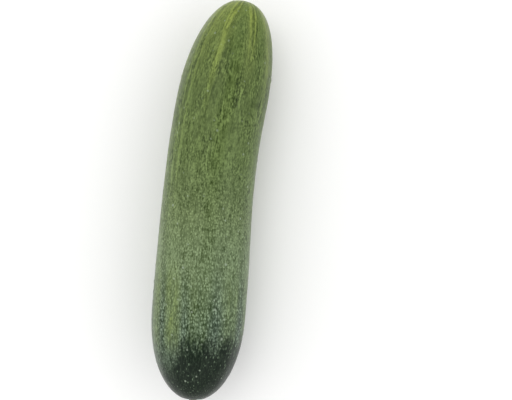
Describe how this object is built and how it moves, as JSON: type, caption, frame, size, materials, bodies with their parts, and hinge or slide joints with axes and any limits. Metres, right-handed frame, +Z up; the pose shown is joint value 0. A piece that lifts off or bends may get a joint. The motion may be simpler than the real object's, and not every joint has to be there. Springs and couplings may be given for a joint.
{
  "type": "cucumber",
  "caption": "Whole green cucumber lying on its side: a long, slightly bent fruit with blunt ends, a stem scar and a blossom scar, resting on a narrow flat along its underside.",
  "frame": {"origin": "on the surface that the fruit rests on, under the middle of its bounding box", "axes": "+X along the fruit, from its stem end to its blossom end; +Y towards the outside of its bend; +Z up"},
  "size_m": [0.2066, 0.0512, 0.0485],
  "materials": {
    "skin": "satin"
  },
  "bodies": {
    "root": {"cucumber": "skin"}
  },
  "joints": []
}
